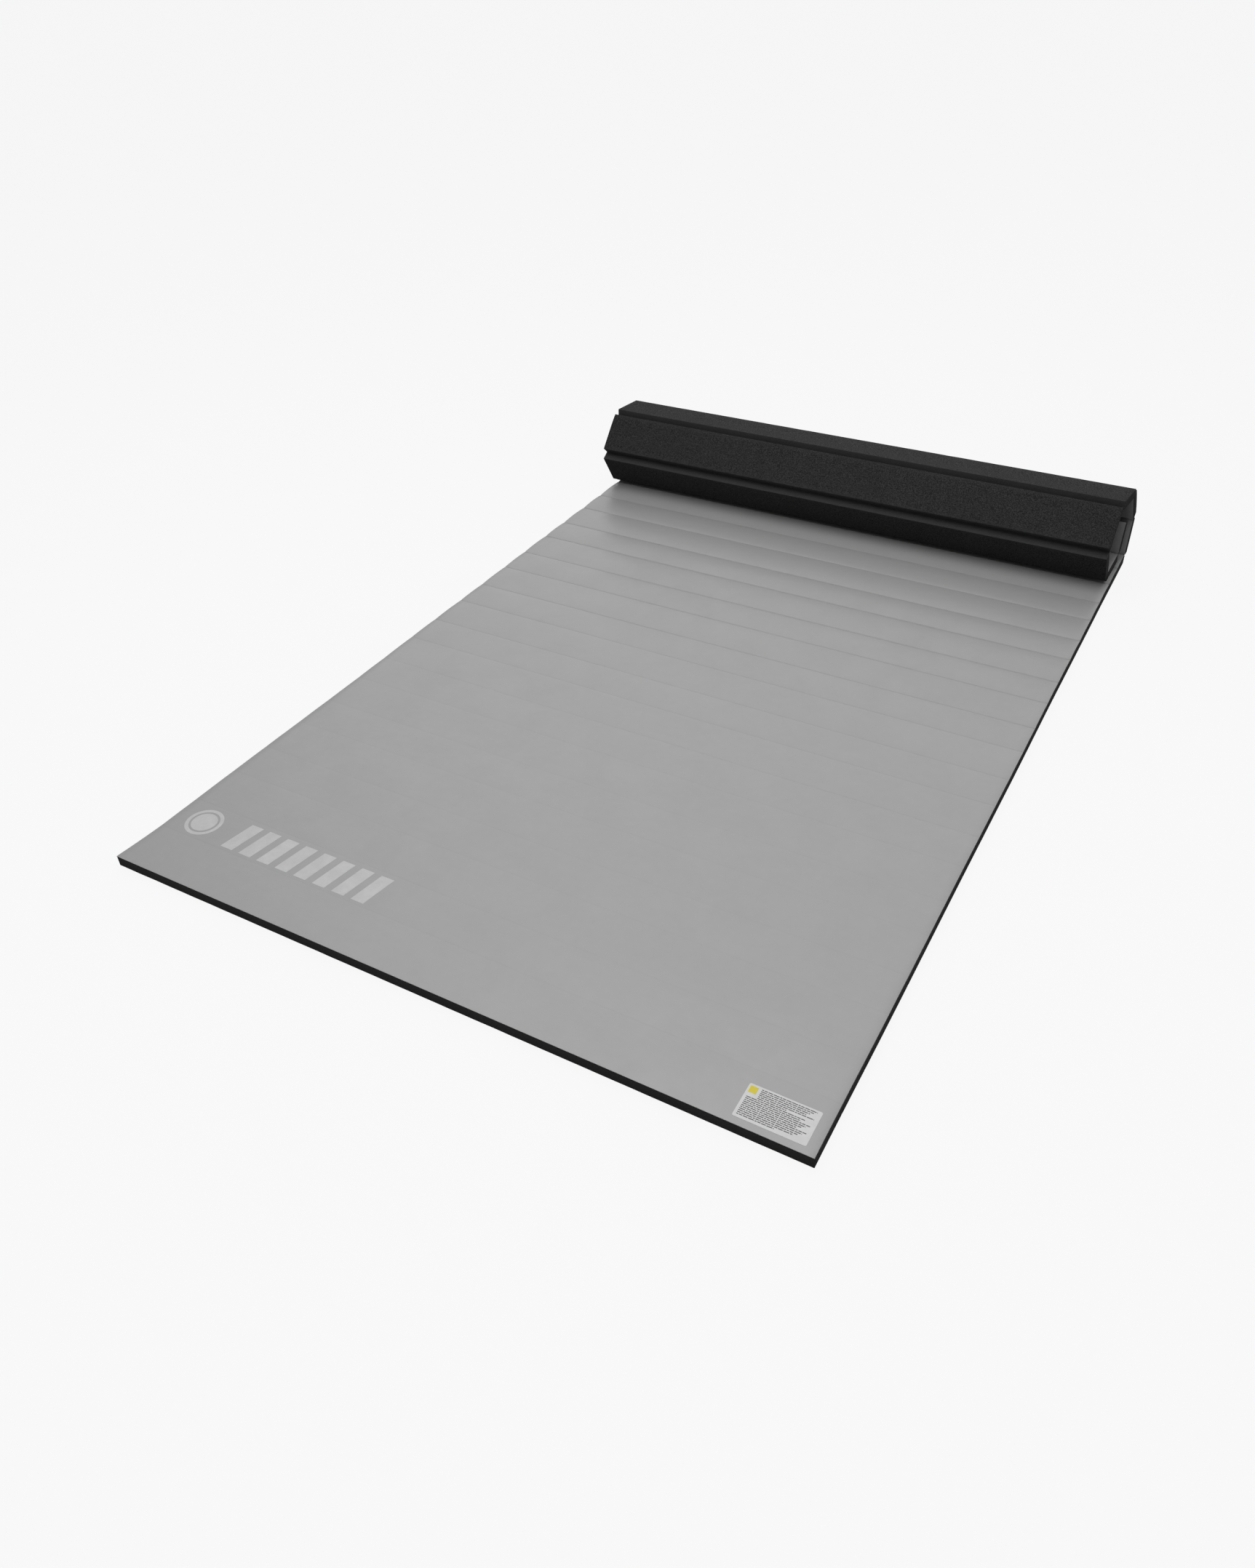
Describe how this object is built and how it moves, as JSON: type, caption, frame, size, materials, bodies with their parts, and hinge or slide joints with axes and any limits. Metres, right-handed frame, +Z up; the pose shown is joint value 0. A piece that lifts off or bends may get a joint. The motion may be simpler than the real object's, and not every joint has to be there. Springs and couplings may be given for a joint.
{
  "type": "roll-out gym mat",
  "caption": "Roll-out training mat: black foam slats joined by a grey vinyl top sheet, laid flat with its far end still in a loose roll.",
  "frame": {"origin": "on the floor under the middle of the whole mat, roll included", "axes": "+X across the mat to the right, +Y along the mat from the near end to the roll, +Z up"},
  "size_m": [1.524, 2.2893, 0.2486],
  "materials": {
    "foam": "closed-cell foam, fine grain, matt",
    "vinyl": "smooth grey vinyl, satin, faint leather grain",
    "print_ink": "flat light grey ink",
    "label": "thin printed film, slightly glossy"
  },
  "bodies": {
    "slat_01": {"foam_slat_01": "foam", "vinyl_panel_01": "vinyl", "care_label": "label"},
    "slat_02": {"foam_slat_02": "foam", "vinyl_panel_02": "vinyl", "corner_print": "print_ink"},
    "slat_03": {"foam_slat_03": "foam", "vinyl_panel_03": "vinyl"},
    "slat_04": {"foam_slat_04": "foam", "vinyl_panel_04": "vinyl"},
    "slat_05": {"foam_slat_05": "foam", "vinyl_panel_05": "vinyl"},
    "slat_06": {"foam_slat_06": "foam", "vinyl_panel_06": "vinyl"},
    "slat_07": {"foam_slat_07": "foam", "vinyl_panel_07": "vinyl"},
    "slat_08": {"foam_slat_08": "foam", "vinyl_panel_08": "vinyl"},
    "slat_09": {"foam_slat_09": "foam", "vinyl_panel_09": "vinyl"},
    "slat_10": {"foam_slat_10": "foam", "vinyl_panel_10": "vinyl"},
    "slat_11": {"foam_slat_11": "foam", "vinyl_panel_11": "vinyl"},
    "slat_12": {"foam_slat_12": "foam", "vinyl_panel_12": "vinyl"},
    "slat_13": {"foam_slat_13": "foam", "vinyl_panel_13": "vinyl"},
    "slat_14": {"foam_slat_14": "foam", "vinyl_panel_14": "vinyl"},
    "slat_15": {"foam_slat_15": "foam", "vinyl_panel_15": "vinyl"},
    "slat_16": {"foam_slat_16": "foam", "vinyl_panel_16": "vinyl"},
    "slat_17": {"foam_slat_17": "foam", "vinyl_panel_17": "vinyl"},
    "slat_18": {"foam_slat_18": "foam", "vinyl_panel_18": "vinyl"},
    "slat_19": {"foam_slat_19": "foam", "vinyl_panel_19": "vinyl"},
    "slat_20_21": {"foam_slat_20": "foam", "vinyl_panel_20": "vinyl", "foam_slat_21": "foam", "vinyl_panel_21": "vinyl"},
    "slat_22": {"foam_slat_22": "foam", "vinyl_panel_22": "vinyl"},
    "slat_23": {"foam_slat_23": "foam", "vinyl_panel_23": "vinyl"},
    "slat_24": {"foam_slat_24": "foam", "vinyl_panel_24": "vinyl"},
    "slat_25": {"foam_slat_25": "foam", "vinyl_panel_25": "vinyl"},
    "slat_26": {"foam_slat_26": "foam", "vinyl_panel_26": "vinyl"},
    "slat_27": {"foam_slat_27": "foam", "vinyl_panel_27": "vinyl"},
    "slat_28": {"foam_slat_28": "foam", "vinyl_panel_28": "vinyl"}
  },
  "joints": [
    {"name": "crease_01", "type": "hinge", "parent": "slat_01", "child": "slat_02", "pos_m": [0, -1.02863, 0.0254], "axis": [1, 0, 0], "range_deg": [0, 38]},
    {"name": "crease_02", "type": "hinge", "parent": "slat_02", "child": "slat_03", "pos_m": [0, -0.92683, 0.0254], "axis": [1, 0, 0], "range_deg": [0, 28]},
    {"name": "crease_03", "type": "hinge", "parent": "slat_03", "child": "slat_04", "pos_m": [0, -0.81253, 0.0254], "axis": [1, 0, 0], "range_deg": [0, 24]},
    {"name": "crease_04", "type": "hinge", "parent": "slat_04", "child": "slat_05", "pos_m": [0, -0.71073, 0.0254], "axis": [1, 0, 0], "range_deg": [0, 40]},
    {"name": "crease_05", "type": "hinge", "parent": "slat_05", "child": "slat_06", "pos_m": [0, -0.59643, 0.0254], "axis": [1, 0, 0], "range_deg": [0, 20]},
    {"name": "crease_06", "type": "hinge", "parent": "slat_06", "child": "slat_07", "pos_m": [0, -0.49463, 0.0254], "axis": [1, 0, 0], "range_deg": [0, 30]},
    {"name": "crease_07", "type": "hinge", "parent": "slat_07", "child": "slat_08", "pos_m": [0, -0.38033, 0.0254], "axis": [1, 0, 0], "range_deg": [0, 38]},
    {"name": "crease_08", "type": "hinge", "parent": "slat_08", "child": "slat_09", "pos_m": [0, -0.27853, 0.0254], "axis": [1, 0, 0], "range_deg": [0, 50]},
    {"name": "crease_09", "type": "hinge", "parent": "slat_09", "child": "slat_10", "pos_m": [0, -0.16423, 0.0254], "axis": [1, 0, 0], "range_deg": [0, 26]},
    {"name": "crease_10", "type": "hinge", "parent": "slat_10", "child": "slat_11", "pos_m": [0, -0.06243, 0.0254], "axis": [1, 0, 0], "range_deg": [0, 14]},
    {"name": "crease_11", "type": "hinge", "parent": "slat_11", "child": "slat_12", "pos_m": [0, 0.05187, 0.0254], "axis": [1, 0, 0], "range_deg": [0, 40]},
    {"name": "crease_12", "type": "hinge", "parent": "slat_12", "child": "slat_13", "pos_m": [0, 0.15367, 0.0254], "axis": [1, 0, 0], "range_deg": [0, 52]},
    {"name": "crease_13", "type": "hinge", "parent": "slat_13", "child": "slat_14", "pos_m": [0, 0.26797, 0.0254], "axis": [1, 0, 0], "range_deg": [0, 32]},
    {"name": "crease_14", "type": "hinge", "parent": "slat_14", "child": "slat_15", "pos_m": [0, 0.36977, 0.0254], "axis": [1, 0, 0], "range_deg": [0, 36]},
    {"name": "crease_15", "type": "hinge", "parent": "slat_15", "child": "slat_16", "pos_m": [0, 0.48407, 0.0254], "axis": [1, 0, 0], "range_deg": [0, 40]},
    {"name": "crease_16", "type": "hinge", "parent": "slat_16", "child": "slat_17", "pos_m": [0, 0.58587, 0.0254], "axis": [1, 0, 0], "range_deg": [0, 36]},
    {"name": "crease_17", "type": "hinge", "parent": "slat_17", "child": "slat_18", "pos_m": [0, 0.70017, 0.0254], "axis": [1, 0, 0], "range_deg": [0, 44]},
    {"name": "crease_18", "type": "hinge", "parent": "slat_18", "child": "slat_19", "pos_m": [0, 0.80197, 0.0254], "axis": [1, 0, 0], "range_deg": [0, 62]},
    {"name": "crease_19", "type": "hinge", "parent": "slat_19", "child": "slat_20_21", "pos_m": [0, 0.91627, 0.0254], "axis": [1, 0, 0], "range_deg": [0, 44]},
    {"name": "crease_21", "type": "hinge", "parent": "slat_20_21", "child": "slat_22", "pos_m": [0, 1.11007, 0.0254], "axis": [1, 0, 0], "range_deg": [-84.7, 0]},
    {"name": "crease_22", "type": "hinge", "parent": "slat_22", "child": "slat_23", "pos_m": [0, 1.11947, 0.12676], "axis": [1, 0, 0], "range_deg": [-41.21, 0]},
    {"name": "crease_23", "type": "hinge", "parent": "slat_23", "child": "slat_24", "pos_m": [0, 1.05245, 0.21935], "axis": [1, 0, 0], "range_deg": [-51.91, 0]},
    {"name": "crease_24", "type": "hinge", "parent": "slat_24", "child": "slat_25", "pos_m": [0, 0.95072, 0.22326], "axis": [1, 0, 0], "range_deg": [-49.91, 0]},
    {"name": "crease_25", "type": "hinge", "parent": "slat_25", "child": "slat_26", "pos_m": [0, 0.8738, 0.13872], "axis": [1, 0, 0], "range_deg": [-73.31, 0]},
    {"name": "crease_26", "type": "hinge", "parent": "slat_26", "child": "slat_27", "pos_m": [0, 0.92623, 0.05146], "axis": [1, 0, 0], "range_deg": [-62.31, 0]},
    {"name": "crease_27", "type": "hinge", "parent": "slat_27", "child": "slat_28", "pos_m": [0, 1.04034, 0.05804], "axis": [1, 0, 0], "range_deg": [-96.71, 0]}
  ],
  "couplings": [
    {"joint": "crease_22", "follows": "crease_21", "ratio": 0.48642},
    {"joint": "crease_23", "follows": "crease_21", "ratio": 0.61275},
    {"joint": "crease_24", "follows": "crease_21", "ratio": 0.58914},
    {"joint": "crease_25", "follows": "crease_21", "ratio": 0.86541},
    {"joint": "crease_26", "follows": "crease_21", "ratio": 0.73554},
    {"joint": "crease_27", "follows": "crease_21", "ratio": 1.1417}
  ]
}
